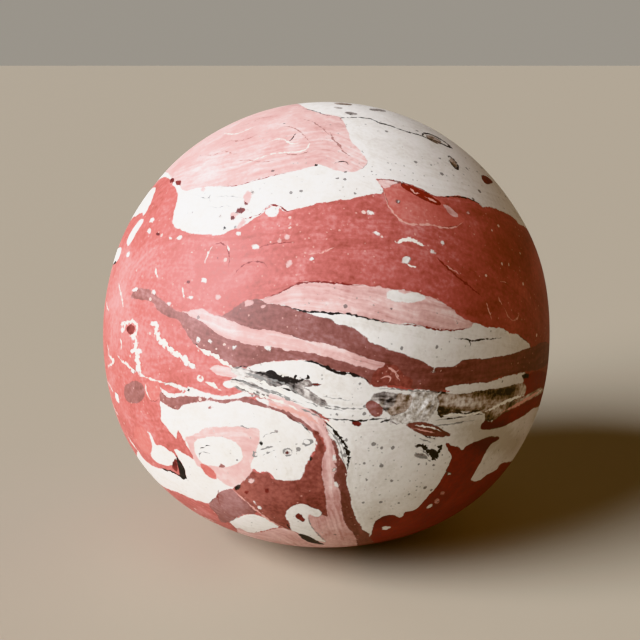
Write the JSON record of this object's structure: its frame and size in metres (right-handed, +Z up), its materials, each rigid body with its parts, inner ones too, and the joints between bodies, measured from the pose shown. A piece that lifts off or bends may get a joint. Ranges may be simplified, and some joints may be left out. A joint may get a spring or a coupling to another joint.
{
  "type": "decorative sphere",
  "caption": "Solid marbled ball with a satin waxed surface, slightly settled at its lower shoulder, standing on a small ground flat.",
  "frame": {"origin": "centre of the flat foot on the underside, on the surface that the ball stands on", "axes": "+Z up through the ball's centre; +X to the right and +Y away from the viewer, as the marbling is seen from the front"},
  "size_m": [0.1511, 0.1502, 0.146],
  "materials": {
    "marbled_paste": "satin"
  },
  "bodies": {
    "root": {"ball": "marbled_paste"}
  },
  "joints": []
}
